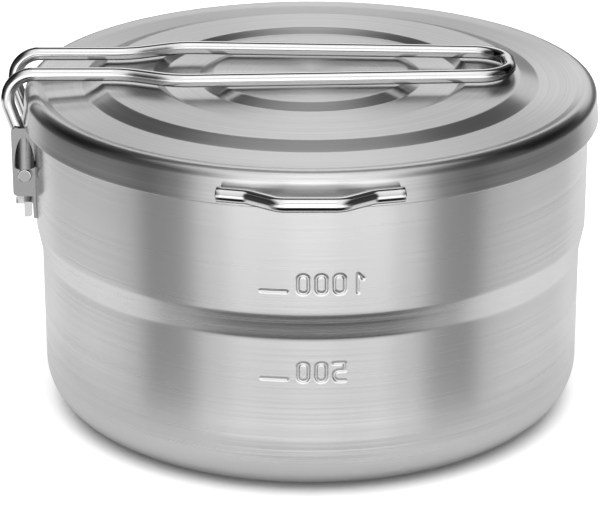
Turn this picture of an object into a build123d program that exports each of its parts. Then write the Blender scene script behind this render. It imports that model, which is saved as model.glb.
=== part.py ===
from build123d import *
from math import asin, atan2, degrees, radians, sin, sqrt, tan
import os

# Stainless cooking pot with a lift-off lid and a folding wire handle that clamps the lid.
# Millimetres, +Z up. The origin is the centre of the flat base. The handle bracket is at
# -X; the lid's lift wire and the volume marks are at -Y, which is the front.

# ---- sheet and pot body ----
sheet = 0.6                      # pot and lid sheet thickness
upper_radius = 77.35             # outer radius of the upper wall
wall_step = 1.45                 # the upper wall stands out past the lower one
lower_radius = upper_radius - wall_step
base_corner_radius = 12.7
curl_inner_radius = 0.45         # rolled rim
curl_bend = 0.98 * curl_inner_radius
curl_centre_height = 90.1
curl_tail = 0.15                 # straight end of the curl
step_bottom = 0.5083 * curl_centre_height
step_height = 7.2                # cone between the two walls
step_top = step_bottom + step_height
step_bend = 4.0

# ---- volume marks, pressed into the wall so that they read from inside ----
mark_depth = 0.3
mark_rib_height = 0.25
mark_stroke = 0.9
mark_rib_widening = 0.3
digit_height = 5.9
digit_width = 3.6
digit_pitch = 4.68
first_digit_x = -1.95
dash_length = 7.4
dash_centre_x = -9.45
upper_mark_height = step_top + 8.65      # middle of the upper row of digits
lower_mark_height = step_bottom - 9.3
dash_drop = 2.05                 # dash below the middle of its row
bowl_share = 0.9                 # corner bend of a digit, as a share of its half width
waist_share = 0.15               # height of the 5's middle bar above the digit's middle
arc_pieces = 6                   # straight bars that make one bend of a stroke

# ---- lid ----
lid_side_gap = 0.55              # rolled rim to the inside of the skirt
lid_radius = upper_radius + 2 * curl_inner_radius + 2 * sheet + lid_side_gap
lid_height = curl_centre_height + 2.35
skirt_depth = 9.15
skirt_bottom = lid_height - skirt_depth
shoulder_radius = 3.0
groove_dip = 0.3                 # shallow gutter just inside the shoulder
groove_outer = lid_radius - 4.1
groove_inner = lid_radius - 5.8
edge_flat_radius = 0.79125 * lid_radius  # where the outer flat meets the raised ring
ring_outer = 0.725 * lid_radius
ring_inner = 0.5475 * lid_radius
valley_outer = 0.515 * lid_radius
valley_inner = 0.39 * lid_radius
plateau_radius = 0.3375 * lid_radius
plateau_height = lid_height + 1.8
ring_height = lid_height + 1.75
valley_height = lid_height + 0.35
lid_bend = 1.5
ring_bend = 2.0

# ---- lid lift wire ----
lift_wire_radius = 1.95
lift_wire_height = skirt_bottom + 3.45
lift_flat_middle = 19.75         # X of the middle of each welded flat
lift_flat_half = 3.95
lift_bow_x = 7.9
lift_bow_y = lid_radius + 6.4
lift_knee_bend = 5.0
lift_bow_bend = 6.0
lift_weld_gap = 0.05
lift_weld_radius = 1.1

# ---- handle ----
wire_radius = 1.9
pivot_x = -(upper_radius + 1.75)
pivot_z = skirt_bottom - 14.7
leg_half_spacing = 9.6
loop_half_spacing = 15.6
tip_half_spacing = 10.9
elbow_radius = 2.5
elbow_end_gap = 0.1              # the elbow's bend ends this far inside the cheek
leg_bend_radius = 6.0
shoulder_bend_radius = 7.3
splay_radius = 20.0
tip_bend_radius = 9.6
leg_knee_height = pivot_z + 6.15
leg_lean = 18.0                  # degrees outward from upright, above the knee
handle_lift_off = 0.35           # wire above the lid's highest ring
handle_height = plateau_height + handle_lift_off + wire_radius
neck_end_x = -0.6375 * lid_radius
splay_end_x = -0.4625 * lid_radius
tip_x = 0.6875 * lid_radius
running_clearance = 0.07         # wire end in the cheek's hole, on the radius
stub_length = 1.8                # wire end past the cheek

# ---- bracket ----
bracket_sheet = 0.8
seat_gap = 0.05                  # welded plate to pot wall
plate_inner = upper_radius + seat_gap
plate_outer = plate_inner + bracket_sheet
cheek_inner_y = leg_half_spacing + elbow_radius + elbow_end_gap
cheek_outer_y = cheek_inner_y + bracket_sheet
stub_end_y = cheek_outer_y + stub_length
cheek_outer_x = -(upper_radius + 5.25)
cheek_root = 2.0                 # cheek run inward past the plate, trimmed off again
cheek_bottom = pivot_z - 6.5
cheek_top = pivot_z + 13.3
cheek_corner_radius = 1.2
plate_bottom = pivot_z - 13.1
window_side_gap = 0.4            # handle leg to the window's edge
window_inner_y = leg_half_spacing - wire_radius - window_side_gap
window_bottom = pivot_z - 3.0
window_top = pivot_z + 11.8
louvre_gap = 0.2                 # wire end to the inside of its lead-in
louvre_radius = wire_radius + louvre_gap + bracket_sheet
louvre_bottom = pivot_z + 2.2
louvre_top = pivot_z + 10.8
louvre_sink = louvre_radius - bracket_sheet / 2 + 0.1    # it has sunk this far at its top
lead_in_width = 2.6
spot_weld_radius = 1.5
spot_weld_height = 0.12
spot_weld_y = 5.4
spot_weld_rows = (pivot_z - 6.0, pivot_z + 1.6, pivot_z + 9.2)

# ---- latch under the handle ----
latch_travel = 2.0
latch_gap = 0.3                  # latch to bracket plate
latch_thickness = 2.2
latch_half_width = 11.4
latch_bottom = pivot_z - 13.2
latch_bar_height = 4.4
latch_shoulder = latch_bottom + latch_bar_height
latch_edge_radius = 1.0
latch_inner = plate_outer + latch_gap
latch_outer = latch_inner + latch_thickness
stem_sheet = 0.8
stem_root = 2.0                  # stem run down into the bar
stem_half_width = 3.5
stem_outer = latch_inner + stem_sheet
stem_top = pivot_z - 1.4         # its end is bent outward to carry the spring
rivet_height = pivot_z - 4.7
rivet_shank_radius = 1.0
rivet_head_radius = 1.75
rivet_head_thickness = 0.9
slot_side_gap = 0.35
slot_end_gap = 0.3
slot_half_width = rivet_shank_radius + slot_side_gap
slot_bottom = rivet_height - rivet_shank_radius - latch_travel - slot_end_gap
slot_top = rivet_height + rivet_shank_radius + slot_end_gap
finger_tab_half_width = 1.5
finger_tab_reach = latch_outer + 2.8
finger_tab_bottom = latch_bottom + 0.2
finger_tab_thickness = 1.3

# ---- latch spring ----
spring_wire_radius = 0.25
spring_radius = 1.35
spring_turns = 5.5
spring_end_gap = 0.05
spring_side_gap = 0.3            # spring to bracket plate
spring_seat_margin = 0.4
spring_seat_height = pivot_z + 6.6
spring_seat_half_width = spring_radius + spring_wire_radius + 1.0
spring_seat_reach = (spring_side_gap + 2 * (spring_radius + spring_wire_radius)
                     + spring_seat_margin)

# ---- cutting blocks ----
oversize = 20.0                  # length of a cutter that must reach right through


def rounded_chain(corners):
    """Straight runs joined by tangent arcs; each corner is (point, bend radius)."""
    edges = []
    start = Vector(corners[0][0])
    for index in range(1, len(corners) - 1):
        corner = Vector(corners[index][0])
        bend = corners[index][1]
        if bend > 0:
            back = (Vector(corners[index - 1][0]) - corner).normalized()
            ahead = (Vector(corners[index + 1][0]) - corner).normalized()
            half_angle = radians(back.get_angle(ahead)) / 2
            reach = bend / tan(half_angle)
            inward = (back + ahead).normalized()
            first = corner + back * reach
            middle = corner + inward * (bend / sin(half_angle) - bend)
            last = corner + ahead * reach
            edges.append(Edge.make_line(start, first))
            edges.append(Edge.make_three_point_arc(first, middle, last))
            start = last
        else:
            edges.append(Edge.make_line(start, corner))
            start = corner
    edges.append(Edge.make_line(start, Vector(corners[-1][0])))
    return edges


def sideways(corners, distance):
    """Profile corners moved to the left by distance, each bend staying concentric."""
    moved = []
    last = len(corners) - 1
    for index, (r, z, bend) in enumerate(corners):
        before = corners[max(index - 1, 0)]
        after = corners[min(index + 1, last)]
        way_in = Vector(r - before[0], z - before[1])
        way_out = Vector(after[0] - r, after[1] - z)
        if index == 0:
            way_in = way_out
        if index == last:
            way_out = way_in
        way_in = way_in.normalized()
        way_out = way_out.normalized()
        turn = way_in.cross(way_out).Z
        normal_in = Vector(-way_in.Y, way_in.X)
        normal_out = Vector(-way_out.Y, way_out.X)
        shift = (normal_in + normal_out) * (distance / (1 + normal_in.dot(normal_out)))
        side = 1 if turn > 0 else -1
        moved.append((r + shift.X, z + shift.Y, bend - distance * side if bend else 0))
    return moved


def sheet_of_revolution(corners, thickness):
    """Sheet metal turned about Z; corners follow one face, thickness goes to its left."""
    face_line = [((r, 0, z), bend) for r, z, bend in corners]
    back_line = [((r, 0, z), bend) for r, z, bend in sideways(corners, thickness)]
    outline = rounded_chain(face_line)
    outline.append(Edge.make_line(Vector(face_line[-1][0]), Vector(back_line[-1][0])))
    outline.extend(rounded_chain(back_line[::-1]))
    outline.append(Edge.make_line(Vector(back_line[0][0]), Vector(face_line[0][0])))
    profile = Face(Wire(outline))
    return revolve(profile, axis=Axis.Z, revolution_arc=360)


def wire_along(corners, radius):
    """Round wire bent along the corners."""
    path = Wire(rounded_chain(corners))
    section = Plane(origin=path @ 0, z_dir=path % 0) * Circle(radius)
    return sweep(section, path=path)


def ring_block(inner, outer, half_width, bottom, top):
    """Piece of a ring about Z on the -X side, |Y| up to half_width."""
    height = top - bottom
    level = Pos(0, 0, (top + bottom) / 2)
    ring = level * (Cylinder(outer, height) - Cylinder(inner, height))
    return ring & (Pos(-outer, 0, (top + bottom) / 2) * Box(outer, 2 * half_width, height))


def along_y(radius, x, z, y_from, y_to):
    """Round bar along Y."""
    middle = (y_from + y_to) / 2
    return Pos(x, middle, z) * Rot(90, 0, 0) * Cylinder(radius, abs(y_to - y_from))


def both_sides(shape):
    """The shape together with its mirror image in the XZ plane."""
    return shape + mirror(shape, about=Plane.XZ)


# ---- volume marks ----

def digit_strokes(digit):
    """Centre lines of a digit as seen from outside the pot, which is mirror-wise."""
    half_w = (digit_width - mark_stroke) / 2
    half_h = (digit_height - mark_stroke) / 2
    bowl = half_w * bowl_share
    waist = half_h * waist_share
    flag = half_w
    if digit == 0:
        return [[(0, half_h, 0), (half_w, half_h, bowl), (half_w, -half_h, bowl),
                 (-half_w, -half_h, bowl), (-half_w, half_h, bowl), (0, half_h, 0)]]
    if digit == 1:
        return [[(0, -half_h, 0), (0, half_h, 0)],
                [(0, half_h, 0), (flag, half_h - flag, 0)]]
    return [[(-half_w, half_h, 0), (half_w, half_h, 0), (half_w, waist, 0),
             (-half_w, waist, bowl), (-half_w, -half_h, bowl), (half_w, -half_h, 0)]]


def stroke_prism(points, x, z, stroke):
    """One stroke with round ends, standing through the front wall of the pot."""
    corners = [((px, pz, 0), bend) for px, pz, bend in points]
    pen = None
    for edge in rounded_chain(corners):
        face = face_along(edge, stroke)
        pen = face if pen is None else pen + face
    place = Plane(origin=(x, -upper_radius - sheet, z), x_dir=(1, 0, 0), z_dir=(0, -1, 0))
    return extrude(place * pen, amount=-oversize)


def face_along(edge, stroke):
    """Band of the stroke's width along one edge, with round ends."""
    band = None
    pieces = 1 if edge.geom_type == GeomType.LINE else arc_pieces
    for piece in range(pieces):
        start = edge @ (piece / pieces)
        end = edge @ ((piece + 1) / pieces)
        run = end - start
        bar = Pos(*((start + end) * 0.5)) * Rot(0, 0, degrees(atan2(run.Y, run.X)))
        part = bar * Rectangle(run.length, stroke)
        part = part + Pos(*start) * Circle(stroke / 2) + Pos(*end) * Circle(stroke / 2)
        band = part if band is None else band + part
    return band


def mark_prisms(digits, row_height, stroke):
    """Prisms for one row: a dash, then the digits, least digit first."""
    half_dash = (dash_length - mark_stroke) / 2
    dash = [(-half_dash, 0, 0), (half_dash, 0, 0)]
    prisms = [stroke_prism(dash, dash_centre_x, row_height - dash_drop, stroke)]
    for place, digit in enumerate(digits):
        x = first_digit_x + place * digit_pitch
        for points in digit_strokes(digit):
            prisms.append(stroke_prism(points, x, row_height, stroke))
    return prisms


def shell_ring(inner, outer, row_height):
    """Thin ring that limits how deep a mark goes."""
    tall = digit_height * 2
    return Pos(0, 0, row_height) * (Cylinder(outer, tall) - Cylinder(inner, tall))


def add_marks(pot, digits, row_height, wall_radius):
    """Press one row into the wall: grooves outside, ribs inside."""
    inside = wall_radius - sheet
    groove_zone = shell_ring(wall_radius - mark_depth, wall_radius + 1, row_height)
    rib_zone = shell_ring(inside - mark_rib_height, inside + mark_depth / 2, row_height)
    for prism in mark_prisms(digits, row_height, mark_stroke + mark_rib_widening):
        pot = pot + (prism & rib_zone)
    for prism in mark_prisms(digits, row_height, mark_stroke):
        pot = pot - (prism & groove_zone)
    return pot


# ---- pieces ----

def make_pot_body():
    curl_out = upper_radius + 2 * curl_inner_radius
    curl_top = curl_centre_height + curl_inner_radius
    curl_bottom = curl_centre_height - curl_inner_radius
    corners = [
        (0, 0, 0),
        (lower_radius, 0, base_corner_radius),
        (lower_radius, step_bottom, step_bend),
        (upper_radius, step_top, step_bend),
        (upper_radius, curl_top, curl_bend),
        (curl_out, curl_top, curl_bend),
        (curl_out, curl_bottom, curl_bend),
        (curl_out - curl_inner_radius - curl_tail, curl_bottom, 0),
    ]
    pot = sheet_of_revolution(corners, sheet)
    pot = add_marks(pot, (0, 0, 0, 1), upper_mark_height, upper_radius)
    pot = add_marks(pot, (0, 0, 5), lower_mark_height, lower_radius)
    return pot


def make_lid():
    corners = [
        (0, plateau_height, 0),
        (plateau_radius, plateau_height, lid_bend),
        (valley_inner, valley_height, lid_bend),
        (valley_outer, valley_height, lid_bend),
        (ring_inner, ring_height, lid_bend),
        (ring_outer, ring_height, ring_bend),
        (edge_flat_radius, lid_height, ring_bend),
        (groove_inner, lid_height - groove_dip, lid_bend),
        (groove_outer, lid_height, lid_bend),
        (lid_radius, lid_height, shoulder_radius),
        (lid_radius, skirt_bottom, 0),
    ]
    return sheet_of_revolution(corners, -sheet)


def lift_wire_corners():
    """Welded flats lie along the skirt; the middle bows out for the fingers."""
    reach = lid_radius + lift_wire_radius + lift_weld_gap
    flat_y = sqrt(reach ** 2 - lift_flat_middle ** 2)
    slope = tan(asin(lift_flat_middle / reach))
    end_x = lift_flat_middle + lift_flat_half
    knee_x = lift_flat_middle - lift_flat_half
    end_y = flat_y - lift_flat_half * slope
    knee_y = flat_y + lift_flat_half * slope
    half = [
        ((-end_x, -end_y, lift_wire_height), 0),
        ((-knee_x, -knee_y, lift_wire_height), lift_knee_bend),
        ((-lift_bow_x, -lift_bow_y, lift_wire_height), lift_bow_bend),
    ]
    other = [((-x, y, z), bend) for (x, y, z), bend in half[::-1]]
    return half + other


def make_lid_lift_wire():
    return wire_along(lift_wire_corners(), lift_wire_radius)


def make_lid_lift_welds(lift_wire):
    """Two weld nuggets between the wire's flats and the skirt."""
    angle = degrees(asin(lift_flat_middle / (lid_radius + lift_wire_radius)))
    length = lift_wire_radius
    skirt = Pos(0, 0, lift_wire_height) * Cylinder(lid_radius, skirt_depth)
    welds = []
    for side in (-1, 1):
        nugget = along_y(lift_weld_radius, 0, lift_wire_height, -lid_radius - length, -lid_radius)
        nugget = Rot(0, 0, side * angle) * nugget
        welds.append(nugget - lift_wire - skirt)
    return Compound(children=[weld.solids()[0] for weld in welds])


def handle_corners():
    lean_run = (handle_height - leg_knee_height) * tan(radians(leg_lean))
    half = [
        ((pivot_x, -stub_end_y, pivot_z), 0),
        ((pivot_x, -leg_half_spacing, pivot_z), elbow_radius),
        ((pivot_x, -leg_half_spacing, leg_knee_height), leg_bend_radius),
        ((pivot_x - lean_run, -leg_half_spacing, handle_height), shoulder_bend_radius),
        ((neck_end_x, -leg_half_spacing, handle_height), splay_radius),
        ((splay_end_x, -loop_half_spacing, handle_height), splay_radius),
        ((tip_x, -tip_half_spacing, handle_height), tip_bend_radius),
    ]
    other = [((x, -y, z), bend) for (x, y, z), bend in half[::-1]]
    return half + other


def make_handle_wire():
    return wire_along(handle_corners(), wire_radius)


def lead_in_bar(radius, surface_y):
    """Round bar leaning into the cheek, so that it stands proud only at its lower end."""
    height = louvre_top - louvre_bottom
    middle_z = (louvre_top + louvre_bottom) / 2
    lean = degrees(atan2(louvre_sink, height))
    bar = Rot(-lean, 0, 0) * Cylinder(radius, 2 * height)
    bar = Pos(pivot_x, surface_y + louvre_sink / 2, middle_z) * bar
    return bar & (Pos(pivot_x, surface_y, middle_z) * Box(oversize, oversize, height))


def make_cheek():
    """One cheek at -Y, with its pressed-out lead-in and the hole for the wire end."""
    length = cheek_root - plate_inner - cheek_outer_x
    height = cheek_top - cheek_bottom
    middle_z = (cheek_top + cheek_bottom) / 2
    middle_y = -(cheek_inner_y + cheek_outer_y) / 2
    blank = Box(length, bracket_sheet, height)
    free_edges = blank.edges().filter_by(Axis.Y).group_by(Axis.X)[0]
    blank = fillet(free_edges, cheek_corner_radius)
    cheek = Pos(cheek_outer_x + length / 2, middle_y, middle_z) * blank
    outside = Box(oversize, oversize, 2 * height)
    outside = Pos(pivot_x, middle_y - oversize / 2, middle_z) * outside
    skin = lead_in_bar(louvre_radius, middle_y)
    hollow = lead_in_bar(louvre_radius - bracket_sheet, middle_y)
    slot_height = louvre_bottom - pivot_z + bracket_sheet
    slot = Box(lead_in_width, 4 * bracket_sheet, slot_height)
    slot = Pos(pivot_x, middle_y, pivot_z + slot_height / 2) * slot
    return cheek + (skin & outside) - hollow - slot


def make_handle_bracket():
    plate = ring_block(plate_inner, plate_outer, cheek_outer_y, plate_bottom, cheek_top)
    window_width = cheek_inner_y - window_inner_y
    window_middle_y = -(window_inner_y + cheek_inner_y) / 2
    window_middle_z = (window_top + window_bottom) / 2
    window = Box(oversize, window_width, window_top - window_bottom)
    window = Pos(-plate_outer, window_middle_y, window_middle_z) * window
    seat_radius = plate_outer + spring_seat_reach
    seat_top = spring_seat_height + bracket_sheet
    half_width = spring_seat_half_width
    seat = ring_block(plate_inner, seat_radius, half_width, spring_seat_height, seat_top)
    bracket = plate - both_sides(window) + both_sides(make_cheek()) + seat
    bore_radius = wire_radius + running_clearance
    bracket = bracket - along_y(bore_radius, pivot_x, pivot_z, -oversize, oversize)
    return bracket - Cylinder(plate_inner, 2 * cheek_top)


def make_bracket_spot_welds():
    """Round spot welds that hold the plate to the wall."""
    welds = []
    face_radius = plate_outer + spot_weld_height
    for z in spot_weld_rows:
        low = z - 2 * spot_weld_radius
        high = z + 2 * spot_weld_radius
        ring = ring_block(plate_outer, face_radius, cheek_inner_y, low, high)
        for side in (-1, 1):
            bar = Rot(0, 90, 0) * Cylinder(spot_weld_radius, oversize)
            bar = Pos(-plate_outer, side * spot_weld_y, z) * bar
            welds.append((bar & ring).solids()[0])
    return Compound(children=welds)


def make_latch_slider():
    """Sliding latch: a wide lower bar, a slotted stem and a small finger tab."""
    bar = ring_block(latch_inner, latch_outer, latch_half_width, latch_bottom, latch_shoulder)
    lower_edge = bar.edges().group_by(Axis.Z)[0].sort_by(SortBy.LENGTH)[-1]
    bar = fillet(lower_edge, latch_edge_radius)
    stem_foot = latch_bottom + stem_root
    stem = ring_block(latch_inner, stem_outer, stem_half_width, stem_foot, stem_top)
    lip_reach = plate_outer + spring_seat_reach
    lip_bottom = stem_top - stem_sheet
    lip = ring_block(latch_inner, lip_reach, spring_seat_half_width, lip_bottom, stem_top)
    slot_height = slot_top - slot_bottom
    slot = Box(oversize, 2 * slot_half_width, slot_height)
    slot = fillet(slot.edges().filter_by(Axis.X), slot_half_width * 0.95)
    slot = Pos(-latch_inner, 0, (slot_top + slot_bottom) / 2) * slot
    tab_top = finger_tab_bottom + finger_tab_thickness
    tab_root = (latch_inner + latch_outer) / 2
    half_width = finger_tab_half_width
    tab = ring_block(tab_root, finger_tab_reach, half_width, finger_tab_bottom, tab_top)
    tip = tab.faces().sort_by(Axis.X)[0]
    tab = fillet(tip.edges().filter_by(Axis.Z), finger_tab_half_width * 0.8)
    return bar + stem + lip + tab - slot


def make_latch_rivet():
    """Shoulder rivet in the bracket plate that guides the stem's slot."""
    head_inner = stem_outer + latch_gap
    length = head_inner - plate_inner
    shank = Rot(0, 90, 0) * Cylinder(rivet_shank_radius, length)
    shank = Pos(-plate_inner - length / 2, 0, rivet_height) * shank
    head = Rot(0, -90, 0) * Cylinder(rivet_head_radius, rivet_head_thickness)
    head = Pos(-head_inner - rivet_head_thickness / 2, 0, rivet_height) * head
    rim = head.edges().group_by(Axis.X)[0]
    head = fillet(rim, rivet_head_thickness * 0.6)
    rivet = shank + head
    return rivet - Cylinder(plate_outer, 2 * cheek_top)


def make_latch_spring():
    """Compression spring between the stem's top and the bracket's seat."""
    bottom = stem_top + spring_end_gap + spring_wire_radius
    top = spring_seat_height - spring_end_gap - spring_wire_radius
    axis_x = -plate_outer - spring_side_gap - spring_radius - spring_wire_radius
    pitch = (top - bottom) / spring_turns
    path = Pos(axis_x, 0, bottom) * Helix(pitch=pitch, height=top - bottom, radius=spring_radius)
    section = Plane(origin=path @ 0, z_dir=path % 0) * Circle(spring_wire_radius)
    return sweep(section, path=path, is_frenet=True)


def main():
    os.makedirs("parts", exist_ok=True)
    lift_wire = make_lid_lift_wire()
    pieces = {
        "pot_body": make_pot_body(),
        "lid": make_lid(),
        "lid_lift_wire": lift_wire,
        "lid_lift_wire_welds": make_lid_lift_welds(lift_wire),
        "handle_wire": make_handle_wire(),
        "handle_bracket": make_handle_bracket(),
        "bracket_spot_welds": make_bracket_spot_welds(),
        "latch_slider": make_latch_slider(),
        "latch_rivet": make_latch_rivet(),
        "latch_spring": make_latch_spring(),
    }
    for name, shape in pieces.items():
        export_step(shape, f"parts/{name}.step")
        box = shape.bounding_box()
        low = [round(value, 2) for value in box.min]
        high = [round(value, 2) for value in box.max]
        print(name, "volume", round(shape.volume, 2), "solids", len(shape.solids()))
        print("    from", low, "to", high)


main()
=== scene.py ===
# %% [markdown]
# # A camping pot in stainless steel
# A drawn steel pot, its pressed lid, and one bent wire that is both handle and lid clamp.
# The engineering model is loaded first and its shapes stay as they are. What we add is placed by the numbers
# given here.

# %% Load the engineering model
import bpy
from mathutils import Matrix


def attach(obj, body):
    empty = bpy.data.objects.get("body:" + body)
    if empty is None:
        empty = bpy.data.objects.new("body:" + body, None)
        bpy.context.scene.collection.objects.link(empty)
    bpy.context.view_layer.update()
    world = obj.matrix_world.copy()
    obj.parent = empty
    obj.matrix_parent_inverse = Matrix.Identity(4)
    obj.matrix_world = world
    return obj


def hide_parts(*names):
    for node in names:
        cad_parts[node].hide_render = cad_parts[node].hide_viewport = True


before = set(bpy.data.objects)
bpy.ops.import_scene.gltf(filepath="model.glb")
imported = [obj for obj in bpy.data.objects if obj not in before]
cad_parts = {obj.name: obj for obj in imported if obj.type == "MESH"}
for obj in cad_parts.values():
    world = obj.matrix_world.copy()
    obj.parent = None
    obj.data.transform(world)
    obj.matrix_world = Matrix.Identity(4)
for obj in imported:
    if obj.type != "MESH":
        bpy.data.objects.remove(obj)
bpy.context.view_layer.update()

# %% [markdown]
# Blender's own module, and numpy for the geometry that we work out ourselves.

# %% Modules
import math
import bpy
import numpy as np

MM = 0.001
print("nodes", sorted(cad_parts))

# %% [markdown]
# ## Bending sheet and wire
# Pressed sheet and bent wire are both straight runs joined by round bends. A maker's drawing gives the
# corners and a bend radius for each, so our helper takes the same and returns points that follow the
# runs and the arcs. A point every few degrees of a bend keeps reflections smooth, which matters more on
# polished metal than on any other surface.

# %% Helper: a path with round bends
def bent_path(corners, arc_step=math.radians(7), run_step=None):
    """Points along (point, bend radius) corners, in mm."""
    points = [np.array(corners[0][0], float)]
    for before, (corner, bend), after in zip(corners, corners[1:], corners[2:]):
        corner = np.array(corner, float)
        if bend <= 0:
            points.append(corner)
            continue
        back = np.array(before[0], float) - corner
        ahead = np.array(after[0], float) - corner
        back /= np.linalg.norm(back)
        ahead /= np.linalg.norm(ahead)
        half = math.acos(np.clip(back @ ahead, -1, 1)) / 2
        inward = (back + ahead) / np.linalg.norm(back + ahead)
        centre = corner + inward * bend / math.sin(half)
        first = corner + back * bend / math.tan(half) - centre
        last = corner + ahead * bend / math.tan(half) - centre
        turn = math.pi - 2 * half
        steps = max(3, math.ceil(turn / arc_step))
        for i in range(steps + 1):
            t = i / steps
            blend = (math.sin((1 - t) * turn) * first + math.sin(t * turn) * last) / math.sin(turn)
            points.append(centre + blend)
    points.append(np.array(corners[-1][0], float))
    if run_step:
        points = divide_runs(points, run_step)
    return np.array(points)


def divide_runs(points, longest):
    """Adds points so that no run is longer than longest."""
    fuller = [points[0]]
    for start, end in zip(points, points[1:]):
        count = max(1, math.ceil(np.linalg.norm(end - start) / longest))
        fuller.extend(start + (end - start) * (i + 1) / count for i in range(count))
    return fuller


def hold_flats(points, near=0.5):
    """Extra points close to both ends of each long run, so that flats shade flat up to their bends."""
    fuller = [points[0]]
    for start, end in zip(points, points[1:]):
        length = np.linalg.norm(end - start)
        if length > 3 * near:
            step = (end - start) * near / length
            fuller += [start + step, end - step]
        fuller.append(end)
    return fuller


print("a path with one square bend has", len(bent_path([((0, 0), 0), ((9, 0), 3), ((9, 9), 0)])), "points")

# %% [markdown]
# A sheet has two faces one thickness apart. Moving a drawn line sideways by the thickness gives the second
# face: an inside bend loses the thickness from its radius and an outside bend gains it.

# %% Helper: the other face of a sheet
def other_face(corners, distance):
    """The corners moved to the left by distance, bends staying concentric."""
    moved = []
    for i, ((r, z), bend) in enumerate(corners):
        before = corners[max(i - 1, 0)][0]
        after = corners[min(i + 1, len(corners) - 1)][0]
        way_in = np.subtract((r, z), before) if i else np.subtract(after, (r, z))
        way_out = np.subtract(after, (r, z)) if i < len(corners) - 1 else way_in
        way_in = way_in / np.linalg.norm(way_in)
        way_out = way_out / np.linalg.norm(way_out)
        normals = np.array([-way_in[1] - way_out[1], way_in[0] + way_out[0]])
        shift = normals * distance / (1 + way_in @ way_out)
        left_turn = way_in[0] * way_out[1] - way_in[1] * way_out[0] > 0
        new_bend = bend - distance * (1 if left_turn else -1) if bend else 0
        moved.append(((r + shift[0], z + shift[1]), new_bend))
    return moved


def sheet_profile(corners, distance, edge):
    """Closed outline of a sheet from its first face, with the cut edge softened by radius edge."""
    back = other_face(corners, distance)
    cut_edge = [(corners[-1][0], edge), (back[-1][0], edge)]
    return hold_flats(bent_path(corners[:-1] + cut_edge + back[-2::-1], math.radians(5)))


# %% [markdown]
# ## Spinning a profile into a shell
# Drawn and spun parts are round, so the profile is turned about the vertical axis. Blender has a Screw
# modifier for this. Building the rings ourselves lets us space them closely only where a detail needs
# them, and lets us press marks into the wall by moving points.

# %% Helper: mesh from a closed profile
def spin(name, profile, angles, press=None):
    """Closed surface of revolution; profile runs from the axis, round the section, back to the axis."""
    rings = np.array(profile, float)
    on_axis_start, on_axis_end = rings[0], rings[-1]
    rings = rings[1:-1]
    cosine, sine = np.cos(angles), np.sin(angles)
    r = np.repeat(rings[:, 0][:, None], len(angles), axis=1)
    z = np.repeat(rings[:, 1][:, None], len(angles), axis=1)
    if press is not None:
        r = press(r, z, angles)
    verts = np.stack([r * cosine, r * sine, z], axis=2).reshape(-1, 3) * MM
    verts = [tuple(v) for v in verts]
    n = len(angles)
    faces = []
    for j in range(len(rings) - 1):
        low, high = j * n, (j + 1) * n
        faces.extend((low + i, low + (i + 1) % n, high + (i + 1) % n, high + i) for i in range(n))
    for centre, ring, flip in ((on_axis_start, 0, False), (on_axis_end, len(rings) - 1, True)):
        verts.append((0.0, 0.0, centre[1] * MM))
        tip = len(verts) - 1
        for i in range(n):
            a, b = ring * n + i, ring * n + (i + 1) % n
            faces.append((tip, a, b) if flip else (tip, b, a))
    mesh = bpy.data.meshes.new(name)
    mesh.from_pydata(verts, [], faces)
    mesh.validate()
    mesh.shade_smooth()
    piece = bpy.data.objects.new(name, mesh)
    bpy.context.scene.collection.objects.link(piece)
    return piece


def even_angles(count):
    return np.arange(count) * 2 * math.pi / count


# %% [markdown]
# ## Sweeping a round wire
# A wire is a circle carried along its bent path. At each point the circle stands square to the path, and
# it is turned as little as possible from one point to the next, so the surface never twists. The cut ends
# get a small round, as deburred wire has.

# %% Helper: mesh of a bent wire
def wire(name, path, radius, sides=48, end_round=0.25):
    """Tube along path, in mm, with softly rounded closed ends."""
    path = np.array(path, float)
    runs = np.diff(path, axis=0)
    runs /= np.linalg.norm(runs, axis=1)[:, None]
    tangents = np.vstack([runs[0], (runs[:-1] + runs[1:]), runs[-1]])
    tangents /= np.linalg.norm(tangents, axis=1)[:, None]
    stations = [(path[0] + tangents[0] * end_round * (1 - math.cos(k / 3 * math.pi / 2)), tangents[0],
                 radius - end_round * (1 - math.sin(k / 3 * math.pi / 2))) for k in range(4)]
    stations += [(p, t, radius) for p, t in zip(path[1:-1], tangents[1:-1])]
    stations += [(path[-1] - tangents[-1] * end_round * (1 - math.cos(k / 3 * math.pi / 2)), tangents[-1],
                  radius - end_round * (1 - math.sin(k / 3 * math.pi / 2))) for k in (3, 2, 1, 0)]
    side = np.cross(stations[0][1], (0, 0, 1))
    if np.linalg.norm(side) < 0.1:
        side = np.cross(stations[0][1], (1, 0, 0))
    verts, around = [], even_angles(sides)
    for place, tangent, size in stations:
        side = side - tangent * (side @ tangent)
        side /= np.linalg.norm(side)
        up = np.cross(tangent, side)
        ring = place + size * (np.cos(around)[:, None] * side + np.sin(around)[:, None] * up)
        verts.extend(map(tuple, ring * MM))
    faces = []
    for j in range(len(stations) - 1):
        a, b = j * sides, (j + 1) * sides
        faces.extend((a + i, a + (i + 1) % sides, b + (i + 1) % sides, b + i) for i in range(sides))
    faces.append(tuple(range(sides))[::-1])
    faces.append(tuple(range((len(stations) - 1) * sides, len(stations) * sides)))
    mesh = bpy.data.meshes.new(name)
    mesh.from_pydata(verts, [], faces)
    mesh.validate()
    mesh.shade_smooth()
    piece = bpy.data.objects.new(name, mesh)
    bpy.context.scene.collection.objects.link(piece)
    return piece


# %% [markdown]
# ## Steel finishes
# All the metal is one stainless steel. What changes is the grain that the last tool left: round the wall
# of the pot, in circles on the lid, even and satin on the bracket, and almost none on the polished wire.
# Turned grain is a noise squeezed very thin across the scratches and left long along them. It changes the
# roughness, a little of the tone, and the height.

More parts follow.
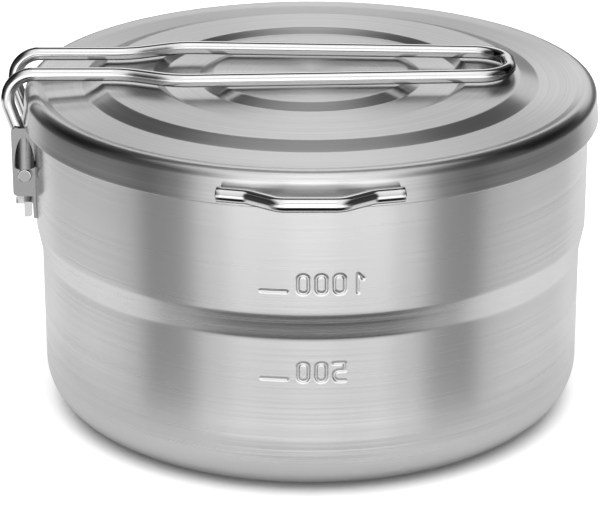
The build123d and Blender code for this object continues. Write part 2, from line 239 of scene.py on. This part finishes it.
# %% Helper: nodes
def add_node(material, kind, **settings):
    """New node; settings name its sockets' values or its own properties."""
    node = material.node_tree.nodes.new(kind)
    for key, value in settings.items():
        if key in node.inputs:
            node.inputs[key].default_value = value
        else:
            setattr(node, key, value)
    return node


def join(material, source, target):
    material.node_tree.links.new(source, target)


def maths(material, operation, first, second=0.0):
    """One Math node; each value is a number or another node's output."""
    node = add_node(material, "ShaderNodeMath", operation=operation)
    for socket, value in zip(node.inputs, (first, second)):
        if isinstance(value, (int, float)):
            socket.default_value = value
        else:
            join(material, value, socket)
    return node.outputs[0]


def carry(material, value, low, high, to_low, to_high):
    """Value's stretch low..high carried to to_low..to_high."""
    node = add_node(material, "ShaderNodeMapRange")
    join(material, value, node.inputs["Value"])
    for key, number in (("From Min", low), ("From Max", high), ("To Min", to_low), ("To Max", to_high)):
        node.inputs[key].default_value = number
    return node.outputs[0]


def grey(material, tone):
    """Neutral colour of that tone."""
    node = add_node(material, "ShaderNodeCombineColor")
    for channel in range(3):
        join(material, tone, node.inputs[channel])
    return node.outputs[0]


def blank_material(name):
    material = bpy.data.materials.new(name)
    material.use_nodes = True
    shader = material.node_tree.nodes["Principled BSDF"]
    return material, shader


# %% [markdown]
# The grain's direction comes from the object's own coordinates. Distance from the axis minus height grows
# steadily as you walk out over the lid and down its skirt, or down the pot's wall, so a noise that changes
# fast along that number and slowly with x and y makes scratches that run round the part and close up
# with no seam. Two sizes of scratch are mixed, fine ones and broad ones.

# %% Helper: scratches round the axis
def scratches(material):
    place = add_node(material, "ShaderNodeTexCoord").outputs["Object"]
    parts = add_node(material, "ShaderNodeSeparateXYZ")
    join(material, place, parts.inputs[0])
    x, y, z = parts.outputs
    x_squared = maths(material, "MULTIPLY", x, x)
    y_squared = maths(material, "MULTIPLY", y, y)
    from_axis = maths(material, "SQRT", maths(material, "ADD", x_squared, y_squared))
    walk = maths(material, "SUBTRACT", from_axis, z)

    def grain(fineness, length, detail):
        spot = add_node(material, "ShaderNodeCombineXYZ")
        for socket, value, scale in zip(spot.inputs, (x, y, walk), (length, length, fineness)):
            join(material, maths(material, "MULTIPLY", value, scale), socket)
        noise = add_node(material, "ShaderNodeTexNoise", Scale=1.0, Detail=detail, Roughness=0.6)
        join(material, spot.outputs[0], noise.inputs["Vector"])
        return noise.outputs["Fac"]

    fine = maths(material, "MULTIPLY", grain(5200.0, 16.0, 2.0), 0.3)
    broad = maths(material, "MULTIPLY", grain(1400.0, 5.0, 3.0), 0.7)
    return maths(material, "ADD", fine, broad)


# %% [markdown]
# Scratches make roughness, tone and height change together. They also stretch every highlight across
# themselves, which the shader calls anisotropy: a tangent that runs round the axis tells it which way the
# scratches lie, and a quarter turn puts the blur across them. The lid was ground first and polished
# lightly after, so it has two sheens at once: a sharp one from the polished tops and a wide haze from the
# scratches left below them. Two shaders mixed in equal parts give both.

# %% Finish: steel with grain running round the axis
ACROSS_THE_GRAIN = 0.25


def turned_steel(name, tone, roughness, streak, bump, anisotropy, tint, haze=None):
    """Tone darkens by tint in the scratches; roughness varies by streak; haze is a second roughness."""
    material, shader = blank_material(name)
    both = scratches(material)
    rough = carry(material, both, 0.35, 0.65, roughness - streak, roughness + streak)
    colour = grey(material, carry(material, both, 0.3, 0.7, tone * (1 - tint), tone * (1 + tint / 2)))
    height = add_node(material, "ShaderNodeBump", Strength=bump, Distance=0.04 * MM)
    tangent = add_node(material, "ShaderNodeTangent", direction_type="RADIAL", axis="Z")
    join(material, both, height.inputs["Height"])
    join(material, rough, shader.inputs["Roughness"])
    shader.inputs["Metallic"].default_value = 1.0
    shader.inputs["Anisotropic"].default_value = anisotropy
    shaders = [shader]
    if haze:
        wide = add_node(material, "ShaderNodeBsdfPrincipled", Metallic=1.0, Roughness=haze, Anisotropic=0.9)
        shaders.append(wide)
        blend = add_node(material, "ShaderNodeMixShader", Fac=0.5)
        join(material, shader.outputs[0], blend.inputs[1])
        join(material, wide.outputs[0], blend.inputs[2])
        join(material, blend.outputs[0], material.node_tree.nodes["Material Output"].inputs["Surface"])
    for sheen in shaders:
        sheen.inputs["Anisotropic Rotation"].default_value = ACROSS_THE_GRAIN
        join(material, colour, sheen.inputs["Base Color"])
        join(material, height.outputs[0], sheen.inputs["Normal"])
        join(material, tangent.outputs[0], sheen.inputs["Tangent"])
    print("finish", name)
    return material


pot_finish = turned_steel("brushed_pot_steel", 0.62, 0.24, 0.04, 0.12, 0.80, 0.06)
lid_finish = turned_steel("spun_lid_steel", 0.61, 0.16, 0.04, 0.22, 0.85, 0.13, haze=0.40)

# %% [markdown]
# Drawn wire is polished before bending. It mirrors the room, with a very faint haze where hands and the
# bending tool have touched it. The same recipe with more roughness and a finer, deeper grain makes the
# rest: a wire's sheared ends, the satin bracket, the brighter latch, the spring and the skin of a weld.

# %% Finishes: polished and satin steel
def polished_steel(name, tone, roughness, haze, grain_size, bump):
    """Even steel: roughness grows by up to haze in soft specks of 1/grain_size metres."""
    material, shader = blank_material(name)
    place = add_node(material, "ShaderNodeTexCoord").outputs["Object"]
    noise = add_node(material, "ShaderNodeTexNoise", Scale=grain_size, Detail=3.0, Roughness=0.55)
    join(material, place, noise.inputs["Vector"])
    specks = noise.outputs["Fac"]
    height = add_node(material, "ShaderNodeBump", Strength=bump, Distance=0.02 * MM)
    join(material, specks, height.inputs["Height"])
    rough = carry(material, specks, 0.3, 0.7, roughness, roughness + haze)
    colour = grey(material, carry(material, specks, 0.3, 0.7, tone * 0.97, tone))
    join(material, rough, shader.inputs["Roughness"])
    join(material, colour, shader.inputs["Base Color"])
    join(material, height.outputs[0], shader.inputs["Normal"])
    shader.inputs["Metallic"].default_value = 1.0
    print("finish", name)
    return material


wire_finish = polished_steel("polished_wire_steel", 0.64, 0.07, 0.04, 900.0, 0.03)
end_finish = polished_steel("sheared_wire_end", 0.38, 0.36, 0.10, 2200.0, 0.15)
bracket_finish = polished_steel("satin_bracket_steel", 0.28, 0.25, 0.08, 1500.0, 0.10)
latch_finish = polished_steel("bright_latch_steel", 0.52, 0.18, 0.08, 1200.0, 0.08)
spring_finish = polished_steel("spring_steel_wire", 0.66, 0.12, 0.05, 1500.0, 0.05)
weld_finish = polished_steel("welded_steel", 0.45, 0.38, 0.12, 2500.0, 0.3)

# %% [markdown]
# ## The pot body
# One round blank of steel is drawn into a cup. The lower wall is a little narrower than the upper one, and
# a short cone joins them, which stiffens the wall and gives a stop for a nested cup. The rim is curled
# outward so that no raw edge meets the hand. We draw the outside as corners with bend radii, in mm.

# %% Pot profile
SHEET = 0.6
LOWER_R, UPPER_R = 75.9, 77.35
STEP_BOTTOM, STEP_TOP, STEP_BEND = 45.8, 53.0, 4.0
BASE_BEND = 12.7
CURL, CURL_MIDDLE = 0.45, 90.1
CURL_TOP, CURL_BOTTOM, CURL_BEND = CURL_MIDDLE + CURL, CURL_MIDDLE - CURL, 0.98 * CURL
CURL_TAIL = 0.15

pot_outside = [
    ((0, 0), 0), ((LOWER_R, 0), BASE_BEND),
    ((LOWER_R, STEP_BOTTOM), STEP_BEND), ((UPPER_R, STEP_TOP), STEP_BEND),
    ((UPPER_R, CURL_TOP), CURL_BEND), ((UPPER_R + 2 * CURL, CURL_TOP), CURL_BEND),
    ((UPPER_R + 2 * CURL, CURL_BOTTOM), CURL_BEND), ((UPPER_R + CURL - CURL_TAIL, CURL_BOTTOM), 0),
]
print("pot is", 2 * UPPER_R, "mm across its upper wall")

# %% [markdown]
# The volume marks are pressed into the wall from outside. Inside they stand up and can be read, and outside
# they are mirrored. We first lay out the middle lines of their strokes as short runs.

# %% Volume mark strokes
DIGIT_W, DIGIT_H, STROKE = 3.6, 5.9, 0.9
half_w, half_h = (DIGIT_W - STROKE) / 2, (DIGIT_H - STROKE) / 2
DASH_HALF, DASH_DROP = 3.25, 2.05
DASH_X, FIRST_DIGIT_X, DIGIT_PITCH = -9.45, -1.95, 4.68
mark_rows = [(61.65, ["dash", 0, 0, 0, 1]), (36.5, ["dash", 0, 0, 5])]


def stroke_lines(shape):
    """Corner lists of a dash or of the digit 0, 1 or 5, mirrored as they show outside."""
    bowl = half_w * 0.9
    if shape == "dash":
        return [[((-DASH_HALF, -DASH_DROP), 0), ((DASH_HALF, -DASH_DROP), 0)]]
    if shape == 0:
        return [[((0, half_h), 0), ((half_w, half_h), bowl), ((half_w, -half_h), bowl),
                 ((-half_w, -half_h), bowl), ((-half_w, half_h), bowl), ((0, half_h), 0)]]
    if shape == 1:
        return [[((0, -half_h), 0), ((0, half_h), 0)],
                [((0, half_h), 0), ((half_w * 0.95, half_h - half_w * 0.95), 0)]]
    waist = half_h * 0.15
    return [[((-half_w, half_h), 0), ((half_w, half_h), 0), ((half_w, waist), 0), ((-half_w, waist), bowl),
             ((-half_w, -half_h), bowl), ((half_w, -half_h), 0)]]


segments = []
for row_z, shapes in mark_rows:
    for place, shape in enumerate(shapes):
        middle_x = DASH_X if shape == "dash" else FIRST_DIGIT_X + (place - 1) * DIGIT_PITCH
        for line in stroke_lines(shape):
            points = bent_path(line, math.radians(15)) + (middle_x, row_z)
            segments.extend(zip(points, points[1:]))
print("mark strokes are", len(segments), "short lines")

# %% [markdown]
# The wall is pushed in where a point lies near a stroke, deepest along the middle, as sheet takes a round
# furrow even from a sharp punch. A cosine gives that furrow its soft sides.

# %% Pressing the marks
MARK_DEPTH, MARK_REACH = 0.32, 0.62
FRONT = 270
ROW_HALF = 5


def press_marks(r, z, angles):
    """Moves wall points inward by how near they lie to a stroke."""
    x = r * np.cos(angles)
    front = np.abs(angles - math.radians(FRONT)) < math.radians(13)
    for row_z, _ in mark_rows:
        ring = np.abs(z[:, 0] - row_z) < ROW_HALF
        block = np.ix_(ring, front)
        here = np.stack([x[block], z[block]], axis=-1)
        nearest = np.full(here.shape[:2], 9.0)
        for start, end in segments:
            if abs(start[1] - row_z) > ROW_HALF:
                continue
            run = end - start
            along = np.clip(((here - start) @ run) / (run @ run), 0, 1)
            gap = np.linalg.norm(here - start - along[..., None] * run, axis=-1)
            nearest = np.minimum(nearest, gap)
        across = np.clip(nearest / MARK_REACH, 0, 1)
        r[block] -= MARK_DEPTH * (1 + np.cos(math.pi * across)) / 2
    return r


print("marks are pressed", MARK_DEPTH, "mm deep")

# %% [markdown]
# The pot's rings are close together only over the two rows of marks, and its columns only across the front
# where the marks are. The rest stays coarse enough to keep the mesh light.

# %% Build the pot
def with_mark_rows(points):
    """Extra heights on the long upright runs, close together over each row of marks."""
    fuller = [points[0]]
    for start, end in zip(points, points[1:]):
        upright = abs(end[0] - start[0]) < 1e-6 and abs(end[1] - start[1]) > 10
        if upright:
            low, high = sorted((start[1], end[1]))
            heights = np.concatenate([np.arange(row_z - 4.2, row_z + 4.2, 0.17) for row_z, _ in mark_rows])
            heights = sorted(h for h in heights if low < h < high)
            if start[1] > end[1]:
                heights = heights[::-1]
            fuller.extend(np.array([start[0], h]) for h in heights)
        fuller.append(end)
    return fuller


pot_profile = with_mark_rows(sheet_profile(pot_outside, SHEET, 0.1))
front = np.radians(np.arange(FRONT - 12, FRONT + 12, 0.14))
rest = np.radians(np.arange(FRONT + 12, FRONT - 12 + 360, 1.0))
pot_angles = np.sort(np.concatenate([front, rest]) % (2 * math.pi))
pot = spin("pot_shell", pot_profile, pot_angles, press_marks)
pot.data.materials.append(pot_finish)
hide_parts("pot_body")
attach(pot, "pot")
print("pot mesh", len(pot.data.vertices), "points")

# %% [markdown]
# ## The lid
# The lid is pressed from the same sheet: a skirt that slips over the rim, a rounded shoulder, a shallow
# gutter, a broad raised ring and a raised centre. The steps stiffen the flat sheet, so it doesn't drum
# or warp over a flame. The skirt opens a little toward its edge, as a pressing must to leave its die.

# %% Lid profile and mesh
LID_R, SKIRT_EDGE_Z, SKIRT_OPENING = 80.0, 83.3, 0.8
EDGE_Z, GUTTER_Z = 92.45, 91.98
RING_Z, VALLEY_Z, PLATEAU_Z = 94.2, 92.8, 94.25

lid_outside = [
    ((0, PLATEAU_Z), 0), ((27.0, PLATEAU_Z), 1.5),
    ((31.2, VALLEY_Z), 1.5), ((41.2, VALLEY_Z), 1.5),
    ((43.8, RING_Z), 1.5), ((58.0, RING_Z), 2.0),
    ((63.3, EDGE_Z), 2.0), ((73.7, GUTTER_Z), 1.5), ((75.9, EDGE_Z), 1.5),
    ((LID_R - SKIRT_OPENING, EDGE_Z), 3.0), ((LID_R, SKIRT_EDGE_Z), 0),
]
lid = spin("lid_shell", sheet_profile(lid_outside, -SHEET, 0.2)[::-1], even_angles(360))
lid.data.materials.append(lid_finish)
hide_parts("lid")
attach(lid, "lid_assembly")
print("lid mesh", len(lid.data.vertices), "points")

# %% [markdown]
# ## The lid's lift wire
# A short wire is welded to the skirt at both ends and bows outward in the middle, so that a fingertip or a
# pot gripper can get behind it. Its welded ends lie flat along the skirt, so they slant a little.

# %% Lift wire
LIFT_R, LIFT_Z, LIFT_GAP = 1.95, 86.75, 0.05
WELD_X, WELD_HALF = 19.75, 3.95
BOW_X, BOW_Y = 7.9, -86.4
reach = LID_R + LIFT_R + LIFT_GAP
weld_y = -math.sqrt(reach ** 2 - WELD_X ** 2)
slant = WELD_HALF * math.tan(math.asin(WELD_X / reach))
half_line = [
    ((-WELD_X - WELD_HALF, weld_y + slant, LIFT_Z), 0),
    ((-WELD_X + WELD_HALF, weld_y - slant, LIFT_Z), 5.0), ((-BOW_X, BOW_Y, LIFT_Z), 6.0),
]
line = half_line + [((-x, y, z), bend) for (x, y, z), bend in half_line[::-1]]
lift_wire = wire("lift_wire", bent_path(line, math.radians(4), 1.5), LIFT_R)
lift_wire.data.materials.append(wire_finish)
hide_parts("lid_lift_wire")
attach(lift_wire, "lid_assembly")
print("lift wire mesh", len(lift_wire.data.vertices), "points")

# %% [markdown]
# ## The handle
# One wire makes the whole handle. Its ends turn outward through the bracket's cheeks and are the hinge.
# The two legs lean out past the lid's edge, bend over it, run side by side, spread into a loop for the
# hand, and close in a round end. We draw one leg and mirror it.

# %% Handle wire
HANDLE_R = 1.9
HANDLE_Z = PLATEAU_Z + 0.35 + HANDLE_R
PIVOT_X, PIVOT_Z = -79.1, 68.6
LEG_Y, STUB_END_Y = -9.6, -14.8
NECK_X, LOOP_X, LOOP_Y = -51.0, -37.0, -15.6
TIP_X, TIP_Y = 55.0, -10.9
KNEE_Z, LEAN = 74.75, math.radians(18.0)
lean_run = (HANDLE_Z - KNEE_Z) * math.tan(LEAN)
half_line = [
    ((PIVOT_X, STUB_END_Y, PIVOT_Z), 0), ((PIVOT_X, LEG_Y, PIVOT_Z), 2.5),
    ((PIVOT_X, LEG_Y, KNEE_Z), 6.0), ((PIVOT_X - lean_run, LEG_Y, HANDLE_Z), 7.3),
    ((NECK_X, LEG_Y, HANDLE_Z), 20.0), ((LOOP_X, LOOP_Y, HANDLE_Z), 20.0),
    ((TIP_X, TIP_Y, HANDLE_Z), 9.6),
]
line = half_line + [((x, -y, z), bend) for (x, y, z), bend in half_line[::-1]]
handle = wire("handle", bent_path(line, math.radians(4), 4.0), HANDLE_R)
handle.data.materials.append(wire_finish)
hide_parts("handle_wire")
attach(handle, "handle")
print("handle mesh", len(handle.data.vertices), "points")

# %% [markdown]
# The two cut ends show in the bracket's cheeks. Shears leave them flat and duller than the drawn wire, so
# their two faces, which are the last in the mesh, get a second material and flat shading.

# %% Cut ends
handle.data.materials.append(end_finish)
for cut_end in list(handle.data.polygons)[-2:]:
    cut_end.material_index = 1
    cut_end.use_smooth = False
    print("cut end with", len(cut_end.vertices), "corners")

# %% [markdown]
# ## The small steel parts
# The bracket, latch, rivet, spring and welds already have their exact shape in the engineering model, so
# they keep it and only get their finish.

# %% Finishes for the small parts
small_parts = {
    "handle_bracket": bracket_finish, "bracket_spot_welds": weld_finish, "latch_slider": latch_finish,
    "latch_rivet": latch_finish, "latch_spring": spring_finish, "lid_lift_wire_welds": weld_finish,
}
for node, finish in small_parts.items():
    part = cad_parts[node]
    part.data.materials.clear()
    part.data.materials.append(finish)
    print("finish on", node)

# %% [markdown]
# ## Floor, light and camera
# Polished steel shows the room more than itself. A bright room gives broad white reflections, and darker
# stretches of its wall draw the round form. The floor is plain and pale, so the pot's soft shadow reads.
# It is kept out of the reflections, as a sweep of paper placed low and far out would be.

# %% Floor
bpy.ops.mesh.primitive_plane_add(size=40, location=(0, 0, 0))
floor = bpy.context.object
floor.name = "floor"
floor_finish, shader = blank_material("pale_floor")
shader.inputs["Base Color"].default_value = (0.93, 0.93, 0.93, 1)
shader.inputs["Roughness"].default_value = 0.9
floor.data.materials.append(floor_finish)
floor.visible_glossy = False
print("floor laid")

# %% [markdown]
# We paint the room on the world instead of building it, because a painted tone can be placed exactly
# where a bend will mirror it. Every tone depends on a direction: how far it lies to the side, how far
# round the pot, how far up or down. A few helpers turn those numbers into smooth tones.

# %% Helpers: tones of the room
world = bpy.data.worlds.new("room")
bpy.context.scene.world = world
world.use_nodes = True
nodes, links = world.node_tree.nodes, world.node_tree.links


def room_maths(operation, first, second=0.0):
    node = nodes.new("ShaderNodeMath")
    node.operation = operation
    for socket, value in zip(node.inputs, (first, second)):
        if isinstance(value, (int, float)):
            socket.default_value = value
        else:
            links.new(value, socket)
    return node.outputs[0]


def tone_scale(value, stops):
    """Smooth tones at (place, tone) stops."""
    node = nodes.new("ShaderNodeValToRGB")
    links.new(value, node.inputs[0])
    ramp = node.color_ramp
    ramp.interpolation = "EASE"
    while len(ramp.elements) < len(stops):
        ramp.elements.new(1.0)
    for element, (place, tone) in zip(ramp.elements, stops):
        element.position = place
        element.color = (tone, tone, tone, 1)
    return node.outputs[0]


def blend_tones(factor, first, second):
    node = nodes.new("ShaderNodeMix")
    node.data_type = "FLOAT"
    links.new(factor, node.inputs["Factor"])
    links.new(first, node.inputs["A"])
    links.new(second, node.inputs["B"])
    return node.outputs["Result"]


way = nodes.new("ShaderNodeTexCoord")
split = nodes.new("ShaderNodeSeparateXYZ")
links.new(way.outputs["Generated"], split.inputs[0])
toward_x, toward_y, toward_z = split.outputs
sideways = room_maths("ABSOLUTE", toward_x)
rise = room_maths("ARCSINE", toward_z)
print("room follows the direction of view")

# %% [markdown]
# Below the horizon the upright wall mirrors the room as bright and dark columns, by how far round the pot a
# direction lies. The tent is bright in front, dark at its edges and open to a white wall behind. Low in
# front there is a dark patch, which is what the cone between the two walls mirrors.

# %% Room below the horizon
turn = room_maths("ARCTAN2", sideways, room_maths("MULTIPLY", toward_y, -1.0))
around = room_maths("DIVIDE", turn, math.pi)
down = room_maths("DIVIDE", rise, math.radians(-90))
columns = tone_scale(around, [
    (0.0, 0.83), (0.10, 0.94), (0.16, 1.01), (0.23, 0.94), (0.32, 0.42), (0.385, 0.38),
    (0.45, 0.72), (0.50, 0.82), (0.57, 0.87), (0.74, 0.80), (0.92, 0.62), (1.0, 0.58)])
in_front = tone_scale(around, [(0.0, 1.0), (0.21, 1.0), (0.27, 0.85), (0.33, 0.3), (0.42, 0.0)])
low_down = tone_scale(down, [(0.0, 0.0), (0.265, 0.0), (0.335, 1.0)])
patch = room_maths("MULTIPLY", in_front, low_down)
outside_patch = room_maths("SUBTRACT", 1.0, room_maths("MULTIPLY", 0.98, patch))
underfoot = tone_scale(down, [(0.0, 1.0), (0.50, 1.0), (0.64, 0.15), (1.0, 0.08)])
low_room = room_maths("MULTIPLY", room_maths("MULTIPLY", columns, outside_patch), underfoot)
print("room below the horizon painted")

# %% [markdown]
# Overhead, the tent has seams. A dark one runs along the back at eye height and another behind the top panel,
# and a thin one crosses the front. They give every bend and wire its fine dark lines. To the sides the back
# seam is wider.

# %% Seams overhead
over_the_top = room_maths("ABSOLUTE", room_maths("ARCTAN2", toward_z, toward_y))
from_back = room_maths("DIVIDE", over_the_top, math.pi)
middle_seams = tone_scale(from_back, [
    (0.0, 0.06), (0.05, 0.06), (0.075, 0.72), (0.145, 0.78), (0.185, 0.95), (0.245, 0.95),
    (0.27, 0.05), (0.43, 0.05), (0.46, 0.95), (0.55, 1.05), (0.742, 1.05), (0.762, 0.40),
    (0.785, 0.40), (0.805, 1.1), (1.0, 1.1)])
side_seams = tone_scale(from_back, [
    (0.0, 0.06), (0.05, 0.06), (0.075, 0.66), (0.13, 0.70), (0.155, 0.05), (0.43, 0.05),
    (0.46, 0.9), (1.0, 0.95)])
off_middle = tone_scale(sideways, [(0.0, 0.0), (0.10, 0.0), (0.20, 1.0)])
seams = blend_tones(off_middle, middle_seams, side_seams)
print("seams painted")

# %% [markdown]
# Above the horizon the tent darkens toward its sides, and the tone changes a little from eye level upward.

# %% Room above the horizon
eye_level = tone_scale(sideways, [
    (0.0, 1.30), (0.45, 1.20), (0.61, 0.75), (0.80, 0.16), (0.90, 0.05), (1.0, 0.02)])
higher_up = tone_scale(sideways, [
    (0.0, 0.85), (0.30, 0.80), (0.42, 0.70), (0.51, 0.45), (0.60, 0.20), (0.72, 0.03),
    (0.85, 0.03), (1.0, 0.05)])
lift = tone_scale(room_maths("MULTIPLY", rise, 4.0), [(0.0, 0.0), (1.0, 1.0)])
side_tone = blend_tones(lift, eye_level, higher_up)
high_room = room_maths("MULTIPLY", room_maths("MULTIPLY", side_tone, seams), 1.35)
print("room above the horizon painted")

# %% [markdown]
# A smooth step between the two halves keeps a hard edge out of the polished wire.

# %% Join the two halves
band = nodes.new("ShaderNodeMapRange")
band.interpolation_type = "SMOOTHSTEP"
links.new(rise, band.inputs["Value"])
band.inputs["From Min"].default_value = math.radians(-20)
band.inputs["From Max"].default_value = math.radians(-13)
background = nodes["Background"]
links.new(blend_tones(band.outputs[0], low_room, high_room), background.inputs["Color"])
background.inputs["Strength"].default_value = 1.3
print("room joined")

# %% [markdown]
# The floor gets its own soft light from a large panel overhead. The panel is kept out of the reflections,
# so the room alone shapes the metal.

# %% Soft light
panel = bpy.data.lights.new("overhead_panel", "AREA")
panel.shape = "RECTANGLE"
panel.size = panel.size_y = 3.0
panel.energy = 70
lamp = bpy.data.objects.new("overhead_panel", panel)
lamp.location = (0.0, 0.0, 1.6)
lamp.visible_glossy = False
bpy.context.scene.collection.objects.link(lamp)
print("panel", panel.size, "m across")

# %% [markdown]
# Close to its foot a pot does mirror the paper it stands on, where that paper lies in its own soft shade. A
# round sheet seen by reflections only stands in for it, grey with painted shade, and lights the bottom bend
# and the lowest part of the wall. The painted shade darkens toward the front, where the shade is deepest.

# %% Paper near the foot, with painted shade
PAPER_R = 0.115
bpy.ops.mesh.primitive_circle_add(vertices=128, radius=PAPER_R, fill_type="NGON", location=(0, 0, 0.0001))
near_paper = bpy.context.object
near_paper.name = "near_paper"
# The paper's grey, darker than the floor's 0.93, is painted shade.
paper_shade_finish, shader = blank_material("painted_shade_paper")
shader.inputs["Roughness"].default_value = 0.9
place = add_node(paper_shade_finish, "ShaderNodeSeparateXYZ")
join(paper_shade_finish, add_node(paper_shade_finish, "ShaderNodeTexCoord").outputs["Object"], place.inputs[0])
# Painted shade: the colour falls from 0.60 at the sides to 0.20 in front of the pot.
forward = maths(paper_shade_finish, "MULTIPLY", place.outputs[1], -1.0)
shade = carry(paper_shade_finish, forward, 0.084, 0.108, 0.60, 0.20)
shade.node.interpolation_type = "SMOOTHSTEP"
join(paper_shade_finish, shade, shader.inputs["Base Color"])
near_paper.data.materials.append(paper_shade_finish)
near_paper.visible_camera = False
near_paper.visible_shadow = False
near_paper.visible_diffuse = False
print("paper near the foot,", PAPER_R, "m radius")

# %% [markdown]
# The camera stands about three quarters of a metre away and looks down at the pot, with a long lens, so the
# rings on the lid stay even. A small shift centres the picture without turning the camera.

# %% Camera
LOOKING_DOWN = 21.12
camera_data = bpy.data.cameras.new("camera")
camera = bpy.data.objects.new("camera", camera_data)
camera.location = (0.0, -0.7054, 0.3165)
camera.rotation_euler = (math.radians(90 - LOOKING_DOWN), 0, 0)
camera_data.sensor_width = 36.0
camera_data.lens = 159.3
camera_data.shift_x = -0.01793
camera_data.shift_y = -0.02247
camera_data.clip_start = 0.01
bpy.context.scene.collection.objects.link(camera)
bpy.context.scene.camera = camera
bpy.context.scene.view_settings.view_transform = "Standard"
print("camera looks down", LOOKING_DOWN, "degrees")
